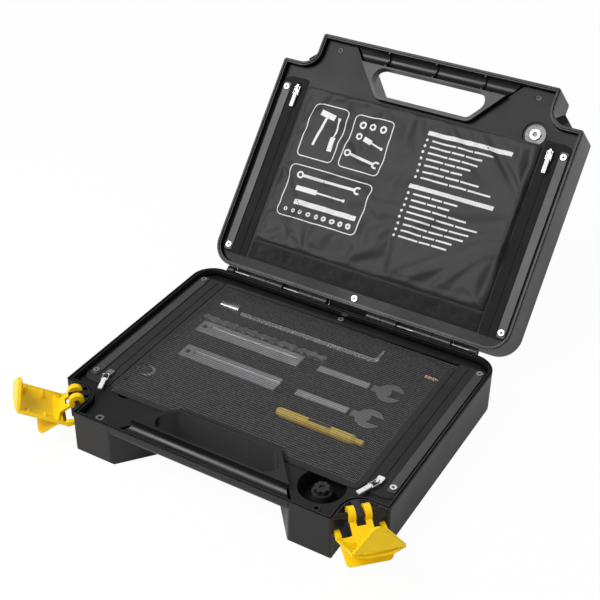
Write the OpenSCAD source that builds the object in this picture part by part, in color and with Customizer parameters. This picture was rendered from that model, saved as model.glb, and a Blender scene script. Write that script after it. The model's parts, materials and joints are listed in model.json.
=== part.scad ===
/* [Case] */
// Width of the case, side to side
case_w = 380; // [350:1:430]
// Depth of the case, from the handle to the back wall
case_d = 302; // [280:1:340]
// Height of the base half, from the ground to the rim
base_h = 50; // [46:1:64]
// Height of the lid half at its edges
lid_h = 52; // [46:1:64]
// Rise of the lid's middle panel over its edges
crown_h = 3; // [2:0.5:5]
// Thickness of the moulded walls
wall = 2.5; // [2:0.1:3.2]
// Radius of the two back corners
back_r = 27; // [15:1:40]
// Height of the bevel on the outer edges of both halves
bevel = 2; // [1:0.5:3]

/* [Rim] */
// Width of the thick rim on both halves
rim_w = 4.6; // [4.2:0.1:6]
// Depth of the thick rim
rim_depth = 5; // [4:0.5:7]
// Width of the sealing groove in the base rim
groove_w = 2; // [1.8:0.1:2.4]
// Depth of the sealing groove
groove_d = 2; // [1.5:0.1:3]
// Clearance of the lid's tongue in the groove, each way
tongue_gap = 0.3; // [0.2:0.05:0.4]

/* [Corner notches] */
// Side of the square notch in each front corner
notch = 40; // [36:1:46]
// Radius of the notch's inner corner
notch_r = 18; // [12:1:22]

/* [Handle] */
// Depth of the bay behind the handle, from the front face
bay_depth = 57.5; // [50:0.5:66]
// Half width of the bay at its back
bay_back = 57; // [48:1:64]
// Width of each foot beside the bay, at the front face
foot_w = 46; // [42:1:54]
// Thickness of the handle bar, front to back
bar_t = 24.5; // [20:0.5:28]
// Height of each half of the handle bar
bar_h = 12; // [9:0.5:16]
// Corner radius of the handle opening at the bar
bar_r = 12; // [6:1:14]

/* [Hinge] */
// Angle between the closed lid and the open lid on its stop
lid_open = 131.2; // [100:0.1:140]
// Distance of the hinge axis behind the back wall
hinge_back = 5.5; // [5:0.1:7]
// Distance of the hinge axis below the rim
hinge_drop = 2; // [1:0.1:3]
// Radius of the hinge knuckles
knuckle_r = 5.2; // [4.5:0.1:5.2]
// Radius of the steel hinge pins
pin_r = 2.2; // [1.5:0.1:2.6]
// Radial clearance round the hinge pins
pin_gap = 0.05; // [0.03:0.01:0.1]
// Distance from the middle of the case to the inner end of each hinge
hinge_in = 26; // [20:1:30]

/* [Latches] */
// Angle between the closed latch and the open latch on its stop
latch_open = 74; // [60:1:80]
// Distance of the latch axis from the notch's corner, on the diagonal
latch_out = 21.5; // [20:0.5:23]
// Distance of the latch axis below the rim
latch_drop = 2.7; // [2.6:0.1:3.5]
// Radius of the bar that the latch snaps on
bar_pin_r = 2.6; // [2:0.1:2.6]
// Radial clearance of the latch hooks on their bar
hook_gap = 0.1; // [0.05:0.05:0.2]
// Outer radius of the latch hooks
hook_r = 7.8; // [6.5:0.1:8.2]
// Half width of the latch cover
latch_half = 25.1; // [22:0.1:25.5]
// Width of each latch hook
hook_w = 6.4; // [5:0.1:7]
// Gap between the two latch hooks
hook_space = 9; // [8:0.1:10]
// Angle of the latch lever above the horizontal when the latch is closed
lever_angle = 43.8; // [35:0.1:50]
// Length of the latch lever from the axis to its tip
lever_len = 48; // [42:0.5:52]
// Thickness of the latch lever and the latch plates
latch_t = 3; // [2.5:0.1:3.5]
// Height of the end plate over the lid's catch
catch_gap = 0.3; // [0.2:0.05:0.5]

/* [Inside] */
// Distance of the liner plates below the rim
liner_drop = 8; // [7.5:0.1:10]
// Thickness of the liner plates
liner_t = 2; // [1.5:0.1:2.5]
// Clearance between the liners and the rims
liner_gap = 0.3; // [0.2:0.05:0.5]
// Distance from each side of the case to the edge of the tool space
space_side = 42; // [41:0.5:44]
// Distance from the front face to the front edge of the tool space
space_front = 66; // [65:0.5:72]
// Distance from the back wall to the back edge of the tool space
space_back = 17; // [15:0.5:20]
// Depth of the foam tray's top below the rim
tray_drop = 17; // [16:0.5:20]
// Thickness of the fabric bands that carry the zips
band_t = 1; // [0.8:0.1:1.2]
// Width of the clamping strips
strip_w = 9.5; // [8:0.5:11]
// Thickness of the clamping strips
strip_t = 1.5; // [1:0.1:2]
// Distance from each side of the case to the middle of its strip
strip_side = 13.4; // [13:0.1:16]
// Distance from each side of the case to its zip
zip_side = 29; // [27:0.5:32]
// Radius of the rivet heads
rivet_r = 3.6; // [3:0.1:4.5]
// Thickness of the mesh panel
mesh_t = 0.8; // [0.6:0.1:1.2]
// Thickness of the lid's fabric pouch
pouch_t = 7; // [5:0.5:8]

/* [Zip pulls] */
// Length of a zip slider
slider_len = 12; // [9:0.5:14]
// Width of a zip slider
slider_w = 8; // [6:0.5:10]
// Travel of each zip slider
zip_travel = 196; // [150:1:200]
// Length of the white pull tab
tab_len = 18; // [14:0.5:19]
// Width of the white pull tab
tab_w = 4.6; // [3.5:0.1:6]

/* [Tools] */
// Width of the flat wrench handles
wrench_w = 21; // [16:1:24]
// Thickness of the flat wrenches
wrench_t = 4; // [3:0.5:6]
// Radius of the round recess for the lobed knob
recess_r = 24; // [20:1:25]
// Number of lobes on the knob
lobes = 8; // [6:1:10]
// Distance between the pins of the chain
chain_pitch = 12.7; // [10:0.1:14]

/* [Hidden] */
$fn = 48;
tiny = 0.01;
left = -1;
right = 1;

shell_black = "#2b2b2d";
liner_grey = "#3a3a3c";
cloth_black = "#1b1b1d";
pouch_grey = "#4a4a4c";
strip_grey = "#66686a";
latch_yellow = "#f0c414";
steel = "#c4c6c8";
tab_white = "#f2f2f2";
tool_grey = "#8b8d90";

front_y = -case_d / 2;
back_y = case_d / 2;
side_x = case_w / 2;
notch_x = side_x - notch;
notch_y = front_y + notch;
bay_y = front_y + bay_depth;
bay_front = notch_x - foot_w;
bar_y = front_y + bar_t;
bay_slope = (bay_front - bay_back) / bay_depth;
corner_r = 3;
bay_r = 8;
foot_r = 5;
hinge_y = back_y + hinge_back;
hinge_z = base_h - hinge_drop;
space_half = side_x - space_side;
strip_x = side_x - strip_side;
zip_x = side_x - zip_side;
liner_z = base_h - liner_drop;
hook_in = hook_space / 2;
hook_end = hook_in + hook_w;
tray_top = base_h - tray_drop;
latch_z = base_h - latch_drop;

// Height of the latch's end plate over the latch axis when it is closed
plate_z = latch_drop + lid_h + crown_h + catch_gap;
plate_t = latch_t + 0.5;
// Place of the end plate's long edge, outward from the latch axis
plate_x = 5;
// Lower end of the cover's free edges, outward from and above the latch axis
cover_x = 17.7;
cover_z = 5.3;
cover_lean = atan2(cover_x - plate_x, plate_z - cover_z);
cover_len = norm([cover_x - plate_x, plate_z - cover_z]) + plate_t / 2;
cover_depth = 5;
cover_floor = latch_half / 2;

// Corners of the outline, each with its radius, going round to the left
outline = [
    [side_x, back_y, back_r], [-side_x, back_y, back_r],
    [-side_x, notch_y, corner_r], [-notch_x, notch_y, notch_r],
    [-notch_x, front_y, corner_r], [notch_x, front_y, corner_r],
    [notch_x, notch_y, notch_r], [side_x, notch_y, corner_r]];
// The same outline with the bay behind the handle cut in
body_outline = [
    [side_x, back_y, back_r], [-side_x, back_y, back_r],
    [-side_x, notch_y, corner_r], [-notch_x, notch_y, notch_r],
    [-notch_x, front_y, corner_r], [-bay_front, front_y, foot_r],
    [-bay_back, bay_y, bay_r], [bay_back, bay_y, bay_r],
    [bay_front, front_y, foot_r], [notch_x, front_y, corner_r],
    [notch_x, notch_y, notch_r], [side_x, notch_y, corner_r]];
// The opening that the fingers go through
bar_half = bay_back + (bay_y - bar_y) * bay_slope;
opening = [
    [bay_back, bay_y, bay_r], [-bay_back, bay_y, bay_r],
    [-bar_half, bar_y, bar_r], [bar_half, bar_y, bar_r]];
// The round gutter along the handle bar, from one liner edge to the other
trough_front = front_y + rim_w;
trough_back = bar_y - wall;
trough_mid = (trough_front + trough_back) / 2;
trough_r = (trough_back - trough_front) / 2;
trough_depth = bar_h - wall;
trough_side = (rim_w + 0.1) * norm([1, bay_slope]);
trough_near = bay_back + trough_side;
trough_far = trough_near + (bay_depth + 10) * bay_slope;

function xy(p) = [p[0], p[1]];
function unit(v) = v / norm(v);
function turn(a, b) = a[0] * b[1] - a[1] * b[0];
function side_shift(a, b, by) = by * [a[1] - b[1], b[0] - a[0]] / norm(b - a);
function meet(p, u, q, v) = p + u * turn(q - p, v) / turn(u, v);

// Each corner of an outline moved inwards, with its radius kept concentric
function inset(pts, by) = [
    for (k = [0:len(pts) - 1])
        let (n = len(pts),
            a = xy(pts[(k + n - 1) % n]),
            b = xy(pts[k]),
            c = xy(pts[(k + 1) % n]),
            p = a + side_shift(a, b, by),
            q = b + side_shift(b, c, by),
            m = meet(p, b - a, q, c - b),
            outer = turn(b - a, c - b) > 0)
        [m[0], m[1], max(0.3, pts[k][2] + (outer ? -by : by))]];

// One corner of an outline: where its arc starts and ends, the arc's centre
// and radius, and whether the corner points outwards
function corner(pts, k) =
    let (n = len(pts),
        b = xy(pts[k]),
        u = unit(xy(pts[(k + n - 1) % n]) - b),
        v = unit(xy(pts[(k + 1) % n]) - b),
        half = acos(u * v) / 2,
        back = pts[k][2] / tan(half))
    [b + u * back, b + v * back, b + unit(u + v) * pts[k][2] / sin(half),
        pts[k][2], turn(-u, v) > 0];

// A flat shape with true arcs at its corners, each a hair over its radius so
// that it crosses the straight edges cleanly
arc_over = 0.003;

module shape(pts, by = 0) {
    moved = inset(pts, by);
    corners = [for (k = [0:len(pts) - 1]) corner(moved, k)];
    difference() {
        union() {
            polygon([for (c = corners, end = [0, 1]) c[end]]);
            for (c = corners)
                if (c[4])
                    translate(c[2])
                        circle(r = c[3] + arc_over);
        }
        for (c = corners)
            if (!c[4])
                translate(c[2])
                    circle(r = c[3] + arc_over);
    }
}

// One half of the case, standing with its rim up
module half_shell(h) {
    difference() {
        union() {
            linear_extrude(height = h)
                shape(body_outline);
            bar_solid(h);
        }
        difference() {
            translate([0, 0, wall])
                linear_extrude(height = h)
                    shape(body_outline, wall);
            translate([0, 0, h - rim_depth])
                linear_extrude(height = rim_depth)
                    difference() {
                        shape(body_outline, wall / 2);
                        shape(body_outline, rim_w);
                    }
        }
        gutter(h);
        translate([0, 0, h - bar_h - tiny])
            linear_extrude(height = bar_h + 1)
                shape(opening);
        bevel_cuts();
    }
    liner_posts(h);
}

module gutter(h) {
    intersection() {
        translate([0, 0, h - bar_h])
            linear_extrude(height = bar_h + 1)
                polygon([[trough_near, bay_y], [-trough_near, bay_y],
                    [-trough_far, front_y - 10], [trough_far, front_y - 10]]);
        translate([-side_x, trough_mid, h])
            rotate([90, 0, 90])
                linear_extrude(height = case_w)
                    union() {
                        translate([0, trough_r - trough_depth])
                            circle(r = trough_r + arc_over);
                        translate([-trough_r, trough_r - trough_depth])
                            square([2 * trough_r, trough_depth]);
                    }
    }
}

// Height by which the base rim stays clear of the closed lid
rim_gap = 0.05;

// Posts that stand on the shell and carry the liner plate
post_gap = 0.3;
screw_r = 2;
screw_len = 8;

module liner_posts(h) {
    top = h - liner_drop - liner_t - post_gap;
    for (side = [left, right]) {
        translate([side * bush_x, bush_y, wall - tiny])
            difference() {
                cylinder(r = bush_r, h = top - wall);
                translate([0, 0, top - wall - screw_len])
                    cylinder(r = screw_r + 0.2, h = screw_len + 1);
            }
        translate([side * strip_x, rivet_back, wall - tiny])
            cylinder(r = rivet_r, h = top - wall);
        translate([side * strip_x, rivet_front, wall - tiny])
            cylinder(r = rivet_r, h = top - wall);
    }
}

// The cut along the outer lower edges, straight on the sides and turned
// round the two back corners
module bevel_cuts() {
    side_run = case_d - back_r - notch;
    for (m = [0, 1])
        mirror([m, 0, 0]) {
            translate([side_x, back_y - back_r, 0])
                rotate([90, 0, 0])
                    linear_extrude(height = side_run + 1)
                        bevel_profile();
            translate([side_x - back_r, back_y - back_r, 0])
                rotate_extrude(angle = 90)
                    translate([back_r, 0])
                        bevel_profile();
            translate([0, back_y, 0])
                rotate([90, 0, 90])
                    linear_extrude(height = side_x - back_r)
                        bevel_profile();
            translate([notch_x + 1, front_y, 0])
                rotate([90, 0, -90])
                    linear_extrude(height = notch_x - bay_front + foot_r)
                        bevel_profile();
        }
}

module bevel_profile() {
    polygon([[-bevel - 1, -1], [1, -1], [1, bevel + 1]]);
}

// The half handle bar between the two feet, rounded below
module bar_solid(h) {
    round_r = bar_h / 2;
    intersection() {
        translate([0, 0, h - bar_h])
            linear_extrude(height = bar_h)
                shape(outline);
        translate([-bay_front, 0, h])
            rotate([90, 0, 90])
                linear_extrude(height = 2 * bay_front)
                    union() {
                        translate([front_y, -bar_h + round_r])
                            square([bay_depth + wall, bar_h - round_r]);
                        translate([front_y + round_r, -bar_h + round_r])
                            circle(r = round_r);
                        translate([front_y + round_r, -bar_h])
                            square([bay_depth + wall - round_r, round_r + tiny]);
                    }
    }
}

// Knuckles on the hinge axis, given as their inner and outer ends in shares of
// the hinge's length, and the lid's webs that close the gaps between them
hinge_len = side_x - back_r - hinge_in - 2;
base_knuckles = hinge_len * [[0, 18 / 135], [81 / 135, 104 / 135], [126 / 135, 1]];
lid_knuckles = hinge_len * [[18.4 / 135, 37 / 135], [59 / 135, 80.6 / 135]];
lid_webs = hinge_len * [[37.5 / 135, 58.5 / 135], [104.5 / 135, 125.5 / 135]];
web_depth = 14;

module knuckles(spans, web_sign) {
    for (side = [left, right])
        for (s = spans)
            translate([side > 0 ? hinge_in + s[0] : -hinge_in - s[1], hinge_y, hinge_z])
                rotate([90, 0, 90])
                    linear_extrude(height = s[1] - s[0])
                        difference() {
                            union() {
                                circle(r = knuckle_r);
                                polygon([
                                    [0, 0], [knuckle_r - 0.3, web_sign * 2.5],
                                    [-hinge_back - tiny, web_sign * web_depth],
                                    [-hinge_back - tiny, web_sign * (hinge_drop + 1)]]);
                            }
                            circle(r = pin_r + pin_gap);
                        }
}

// Draws its children in the lid, as they lie when the lid is closed,
// with z counted up from the rim
module in_lid() {
    translate([0, hinge_y, hinge_z])
        rotate([-lid_open, 0, 0])
            translate([0, -hinge_y, -hinge_z + base_h])
                children();
}

// Draws its children with z counted from a liner towards the rim
module on_base_liner() {
    translate([0, 0, liner_z])
        children();
}

module on_lid_liner() {
    in_lid()
        translate([0, 0, liner_drop])
            mirror([0, 0, 1])
                children();
}

// Draws its children at a notch, with x on the diagonal away from the case
module at_notch(side) {
    translate([side * notch_x, notch_y, 0])
        rotate([0, 0, -90 + side * 45])
            children();
}

// Draws its children on a latch's axis, with the base rim at height latch_drop
module at_latch(side) {
    translate([0, 0, latch_z])
        at_notch(side)
            translate([latch_out, 0, 0])
                children();
}

// The bar that the latch snaps on, its middle tab and its ribs
module latch_bar(side) {
    tab_half = hook_in - 0.4;
    tab_t = 2;
    rib_t = 1.6;
    rib_depth = 7;
    wall_mid = notch_r * sqrt(2);
    at_latch(side) {
        rotate([90, 0, 0])
            cylinder(r = bar_pin_r, h = 2 * (latch_out + bar_pin_r) + 1, center = true);
        difference() {
            union() {
                translate([-latch_out + wall_mid - notch_r - 1, -tab_half, latch_drop - tab_t - rim_gap])
                    cube([notch_r + 4, 2 * tab_half, tab_t]);
                translate([0, 0, latch_drop - rib_depth])
                    linear_extrude(height = rib_depth - rim_gap)
                        for (turned = [-76:38:76])
                            translate([wall_mid - latch_out, 0])
                                rotate(180 + turned)
                                    translate([4, -rib_t / 2])
                                        square([notch_r - 3, rib_t]);
            }
            for (s = [left, right])
                translate([0, s * (hook_in + hook_end) / 2, 0])
                    rotate([90, 0, 0])
                        cylinder(r = hook_r + 0.5, h = hook_w + 0.6, center = true);
        }
    }
}

module base_shell() {
    color(shell_black)
        union() {
            difference() {
                union() {
                    half_shell(base_h - rim_gap);
                    for (side = [left, right])
                        latch_bar(side);
                }
                translate([0, 0, base_h - groove_d])
                    linear_extrude(height = groove_d + 1)
                        difference() {
                            shape(outline, rim_w / 2 - groove_w / 2);
                            shape(outline, rim_w / 2 + groove_w / 2);
                        }
                underside();
            }
            intersection() {
                knuckles(base_knuckles, -1);
                translate([-side_x, back_y - tiny, 0])
                    cube([case_w, 2 * hinge_back + knuckle_r, base_h + knuckle_r]);
            }
        }
}

// Shallow panels moulded into the bottom between the strips it stands on
module underside() {
    panel_d = 1;
    margin = 22;
    panel = (case_w - 3 * margin) / 2;
    for (side = [left, right])
        translate([side * (panel + margin) / 2, (bay_y + back_y) / 2, -tiny])
            linear_extrude(height = panel_d)
                square([panel, back_y - bay_y - 2 * margin], center = true);
}

module lid_shell() {
    color(shell_black)
        in_lid()
            difference() {
                union() {
                    translate([0, 0, lid_h])
                        mirror([0, 0, 1])
                            half_shell(lid_h);
                    tongue();
                    crown();
                    lid_knuckles();
                    hinge_webs();
                    bar_ribs();
                    for (side = [left, right])
                        lid_lug(side);
                }
                for (side = [left, right])
                    lug_slot(side);
            }
}

module tongue() {
    tongue_w = groove_w - 2 * tongue_gap;
    translate([0, 0, -groove_d + tongue_gap])
        linear_extrude(height = groove_d)
            difference() {
                shape(outline, rim_w / 2 - tongue_w / 2);
                shape(outline, rim_w / 2 + tongue_w / 2);
            }
}

// The raised middle panel of the lid, with sloping edges
module crown() {
    edge = 12;
    low_x = side_x - edge;
    low_y = back_y - edge;
    translate([0, 0, lid_h])
        intersection() {
            translate([0, 0, -tiny])
                linear_extrude(height = crown_h + tiny)
                    shape(body_outline, edge);
            rotate([90, 0, 0])
                linear_extrude(height = case_d, center = true)
                    polygon([[low_x, 0], [low_x - crown_h, crown_h], [-low_x + crown_h, crown_h],
                        [-low_x, 0], [-low_x, -1], [low_x, -1]]);
            rotate([90, 0, 90])
                linear_extrude(height = case_w, center = true)
                    polygon([[low_y, 0], [low_y - crown_h, crown_h], [-low_y + crown_h, crown_h],
                        [-low_y, 0], [-low_y, -1], [low_y, -1]]);
        }
}

module lid_knuckles() {
    translate([0, 0, -base_h])
        intersection() {
            knuckles(lid_knuckles, 1);
            translate([-side_x, back_y - tiny, 0])
                cube([case_w, 2 * hinge_back + knuckle_r, 2 * base_h]);
        }
    // The heels that meet the base's back wall when the lid is open
    translate([0, hinge_y, hinge_z - base_h])
        rotate([lid_open, 0, 0])
            for (side = [left, right])
                for (s = lid_knuckles)
                    translate([side > 0 ? hinge_in + s[0] : -hinge_in - s[1], 0, 0])
                        difference() {
                            translate([0.5, -hinge_back + 0.3, -7])
                                cube([s[1] - s[0] - 1, 4.5, 5]);
                            rotate([0, 90, 0])
                                cylinder(r = pin_r + pin_gap, h = 3 * (s[1] - s[0]), center = true);
                        }
}

// Thin plates on the lid that close the gaps between the knuckles when it is
// open, standing outside the turning circle of the pins
module hinge_webs() {
    spans = [
        [-hinge_in + 0.5, 2 * hinge_in - 1],
        for (side = [left, right], s = lid_webs)
            [side > 0 ? hinge_in + s[0] : -hinge_in - s[1], s[1] - s[0]]];
    translate([0, hinge_y, hinge_z - base_h])
        rotate([lid_open, 0, 0])
            for (s = spans)
                translate([s[0], 0, 0])
                    rotate([90, 0, 90])
                        linear_extrude(height = s[1])
                            polygon([[6, 3.3], [1.8, -7.5], [3.8, -7.5], [8.3, 1.4]]);
}

// Crescent ribs across the lid's half of the handle bar
module bar_ribs() {
    rib_t = 2;
    rib_x = 61;
    hollow_r = 0.8 * trough_r;
    for (x = [-rib_x, 0, rib_x])
        translate([x - rib_t / 2, trough_mid, 0])
            rotate([90, 0, 90])
                linear_extrude(height = rib_t)
                    difference() {
                        translate([-trough_r - 0.5, 1])
                            square([2 * trough_r + 1, trough_depth + 1]);
                        translate([0, -0.5])
                            circle(r = hollow_r);
                    }
}

// The block in each notch of the lid that the latch's end plate hooks over
lug_half = 5;
lug_low = 9;
lug_out = 18.5;
slot_x = 9.5;
slot_w = 2.6;
lip_h = 1.8;

module lid_lug(side) {
    root = notch_r * (sqrt(2) - 1) - 2;
    at_notch(side)
        rotate([90, 0, 0])
            linear_extrude(height = 2 * lug_half, center = true)
                polygon([
                    [root, lug_low], [lug_out, lug_low + (lug_out - root) / 2],
                    [lug_out, lid_h + crown_h], [root, lid_h + crown_h]]);
}

module lug_slot(side) {
    at_notch(side)
        translate([slot_x, -lug_half - 1, lid_h + crown_h - lip_h - 0.5])
            cube([slot_w, 2 * lug_half + 2, lip_h + 1]);
}

// One latch, drawn closed, on its axis and with x away from the case
module latch_body() {
    union() {
        latch_hooks();
        latch_lever();
        latch_cover();
        latch_plate();
        latch_heels();
    }
}

module latch_hooks() {
    mouth = [[0, 0], for (a = [-72:18:lever_angle - 12]) 2 * hook_r * [cos(a), sin(a)]];
    for (s = [left, right])
        translate([0, s * (hook_in + hook_end) / 2, 0])
            rotate([90, 0, 0])
                linear_extrude(height = hook_w, center = true)
                    difference() {
                        circle(r = hook_r);
                        circle(r = bar_pin_r + hook_gap);
                        polygon(mouth);
                    }
}

module latch_lever() {
    flare = 24;
    neck = 12.5;
    tip_r = 5;
    tip_half = 22.2;
    side_step = 0.2;
    prong_end = hook_end - side_step;
    // Along the lever: two prongs, a neck and a wide plate with round corners
    plan = [
        [neck, -prong_end, 0.5], [flare - 4, -prong_end, 1], [flare, -latch_half + 1, 1],
        [lever_len, -tip_half, tip_r], [lever_len, tip_half, tip_r],
        [flare, latch_half - 1, 1], [flare - 4, prong_end, 1], [neck, prong_end, 0.5]];
    rotate([0, -lever_angle, 0])
        translate([0, 0, -latch_t / 2])
            linear_extrude(height = latch_t) {
                shape(plan);
                for (s = [left, right])
                    translate([hook_r - 2.6, s > 0 ? hook_in + side_step : -prong_end])
                        square([neck - hook_r + 4, hook_w - 2 * side_step]);
            }
}

module latch_cover() {
    edge = 2;
    cross_ribs = 3;
    rib_t = 1.5;
    outer = [[0, -latch_half], [edge + 1, -latch_half], [cover_depth + 2.5, -cover_floor],
        [cover_depth + 2.5, cover_floor], [edge + 1, latch_half], [0, latch_half]];
    inner = [[-1, -latch_half + 2.2], [0.4, -latch_half + 2.2], [cover_depth, -cover_floor + 1],
        [cover_depth, cover_floor - 1], [0.4, latch_half - 2.2], [-1, latch_half - 2.2]];
    translate([cover_x, 0, cover_z])
        rotate([0, -cover_lean, 0]) {
            linear_extrude(height = cover_len)
                difference() {
                    polygon(outer);
                    polygon(inner);
                }
            for (s = [left, right])
                for (k = [0:cross_ribs - 1])
                    translate([0, 0, cover_len * (k + 0.35) / cross_ribs])
                        linear_extrude(height = rib_t)
                            polygon([[0.2, s * (latch_half - 1)], [0.2, s * cover_floor],
                                [cover_depth + 0.5, s * (cover_floor - 1)], [cover_depth + 0.5, s * cover_floor],
                                [1.5, s * (latch_half - 1)]]);
        }
}

module latch_plate() {
    apex_r = 8;
    lip_x = slot_x + 0.3 - latch_out;
    translate([0, 0, plate_z])
        linear_extrude(height = plate_t)
            shape([[plate_x + 1, latch_half, 1], [plate_x - latch_half, 0, apex_r],
                [plate_x + 1, -latch_half, 1]]);
    translate([lip_x, -lug_half + 1, plate_z - lip_h])
        cube([slot_w - 0.6, 2 * lug_half - 2, lip_h + tiny]);
}

// Small heels at the cover's lower end that meet the notch's walls when open
module latch_heels() {
    heel_in = latch_half - 5.6;
    heel_out = latch_half - 0.5;
    reach = heel_out + 0.45 - latch_out;
    rotate([0, -latch_open, 0])
        for (s = [left, right])
            translate([0, s * (heel_in + heel_out) / 2, 0])
                rotate([90, 0, 0])
                    linear_extrude(height = heel_out - heel_in, center = true)
                        polygon([[reach, -13], [reach, -17], [12, -19], [14.5, -16], [12, -13]]);
}

module latch(side) {
    color(latch_yellow)
        at_latch(side)
            rotate([0, latch_open, 0])
                latch_body();
}

module latch_left() {
    latch(left);
}

module latch_right() {
    latch(right);
}

module hinge_pins() {
    inner_gap = 0.5;
    color(steel)
        for (side = [left, right])
            translate([side > 0 ? hinge_in + inner_gap : -hinge_in - hinge_len + inner_gap, hinge_y, hinge_z])
                rotate([0, 90, 0])
                    cylinder(r = pin_r, h = hinge_len - 2 * inner_gap);
}

// The space for the tools, from its front left corner
space_y0 = front_y + space_front;
space_y1 = back_y - space_back;
space_len = space_y1 - space_y0;
recess_x = side_x - 74;
recess_y = front_y + 43.5;
recess_floor = 20;
bush_x = notch_x - 23.7;
bush_y = front_y + 14;
bush_r = 4.5;
bush_hole = 2.5;
rivet_hole = 2;
rivet_front = front_y + 73.2;
rivet_back = back_y - 24.2;
rivet_mid_y = back_y - 9.5;
shank_gap = 0.1;

// The rivets' places at each strip
module at_rivets() {
    for (side = [left, right])
        for (y = [rivet_front, rivet_back])
            translate([side * strip_x, y, 0])
                children();
}

thumb_r = 10;

module liner_plan() {
    difference() {
        shape(body_outline, rim_w + liner_gap);
        translate([-space_half, space_y0])
            square([2 * space_half, space_len]);
    }
}

module base_liner() {
    skirt = liner_z - wall - liner_gap;
    color(liner_grey)
        on_base_liner()
            difference() {
                union() {
                    translate([0, 0, -liner_t])
                        linear_extrude(height = liner_t)
                            liner_plan();
                    translate([0, 0, -skirt])
                        linear_extrude(height = skirt)
                            difference() {
                                translate([-space_half - liner_t, space_y0 - liner_t])
                                    square([2 * (space_half + liner_t), space_len + 2 * liner_t]);
                                translate([-space_half, space_y0])
                                    square([2 * space_half, space_len]);
                            }
                    translate([recess_x, recess_y, -recess_floor])
                        cylinder(r = recess_r + liner_t, h = recess_floor);
                }
                translate([recess_x, recess_y, -recess_floor + liner_t])
                    cylinder(r = recess_r, h = recess_floor);
                for (side = [left, right])
                    translate([side * bush_x, bush_y, -liner_t - 1])
                        cylinder(r = bush_hole + 0.6, h = liner_t + 2);
                at_rivets()
                    translate([0, 0, -liner_t - 1])
                        cylinder(r = rivet_hole, h = liner_t + 2);
                translate([0, rivet_mid_y, -liner_t - 1])
                    cylinder(r = rivet_hole, h = liner_t + 2);
                // The thumb notch at the front left corner of the mesh
                translate([-space_half + thumb_r + 10, space_y0 - 4, -liner_t])
                    cylinder(r = thumb_r, h = liner_t + 1);
            }
}

// Foam block that fills the tool space, with a pocket under each tool
module tool_tray() {
    gap = 0.5;
    color(cloth_black)
        difference() {
            translate([-space_half + gap, space_y0 + gap, wall])
                cube([2 * (space_half - gap), space_len - 2 * gap, tray_top - wall]);
            translate([recess_x, recess_y, 0])
                cylinder(r = recess_r + liner_t + gap, h = base_h);
            translate([0, 0, tray_top - tool_sink])
                linear_extrude(height = tool_sink + 1) {
                    wrench_plan(wrench_rear_y, wrench_rear_x, 0.4);
                    wrench_plan(wrench_front_y, wrench_front_x, 0.4);
                    hex_plan(0.4);
                    chain_box(0.4);
                    spindle_box(0.4);
                    translate(ring_at)
                        circle(r = ring_r + 0.4);
                    translate(socket_at)
                        square([socket_len + 0.8, 2 * socket_r + 0.8], center = true);
                    translate(bit_at)
                        square([bit_len + 0.8, 2 * bit_r + 0.8], center = true);
                }
        }
}

// Depth that the tools sink into the foam
tool_sink = 3;
tool_z = tray_top - tool_sink + 0.1;

// Distances of the tools' rows from each other, and from the space's edges
rear_row = 27;
wrench_row = 73.5;
wrench_pitch = 48;
spindle_row = 39.5;
end_room = 10;
wrench_rear_y = space_y1 - wrench_row;
wrench_front_y = wrench_rear_y - wrench_pitch;
wrench_rear_x = -space_half + end_room;
wrench_front_x = wrench_rear_x + end_room;
jaw_x = space_half - 44;

// Plan of a flat wrench: a wide handle, a slim shank and an open jaw
module wrench_plan(y, x0, grow) {
    handle_len = 143;
    shank_w = 9;
    head_r = 15;
    jaw_w = 13;
    translate([0, y]) {
        translate([x0 - grow, -wrench_w / 2 - grow])
            square([handle_len + 2 * grow, wrench_w + 2 * grow]);
        translate([x0 + handle_len - 1, -shank_w / 2 - grow])
            square([jaw_x - x0 - handle_len + 2, shank_w + 2 * grow]);
        difference() {
            translate([jaw_x, 0])
                circle(r = head_r + grow);
            if (grow == 0)
                translate([jaw_x - 1, -jaw_w / 2])
                    square([2 * head_r, jaw_w]);
        }
    }
}

module wrench(y, x0) {
    slot_half = 4;
    color(tool_grey)
        translate([0, 0, tool_z])
            difference() {
                linear_extrude(height = wrench_t)
                    wrench_plan(y, x0, 0);
                translate([x0 + 14, y - slot_half, wrench_t - 1])
                    cube([112, 2 * slot_half, 2]);
                translate([x0 + 7, y, -1])
                    cylinder(r = 3, h = wrench_t + 2);
            }
}

module wrench_rear() {
    wrench(wrench_rear_y, wrench_rear_x);
}

module wrench_front() {
    wrench(wrench_front_y, wrench_front_x);
}

hex_len = 178;
hex_x0 = -space_half + 38;
hex_x1 = hex_x0 + hex_len;
hex_y = space_y1 - rear_row - 3.5;
hex_af = 5;
hex_leg = 24;
hex_bend = 7;

// Corner radius of its six-sided bar, and the line its leg stands on
hex_across = hex_af / 2 / cos(30);
hex_mid_x = hex_x1 - hex_across;

module hex_plan(grow) {
    half = hex_across + grow;
    translate([hex_x0 - grow, hex_y - half])
        square([hex_mid_x - hex_x0 + half + grow, 2 * half]);
    translate([hex_mid_x - half, hex_y - half])
        square([2 * half, hex_leg + 2 * grow]);
    translate([hex_mid_x - hex_bend, hex_y])
        square(hex_bend);
}

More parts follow.
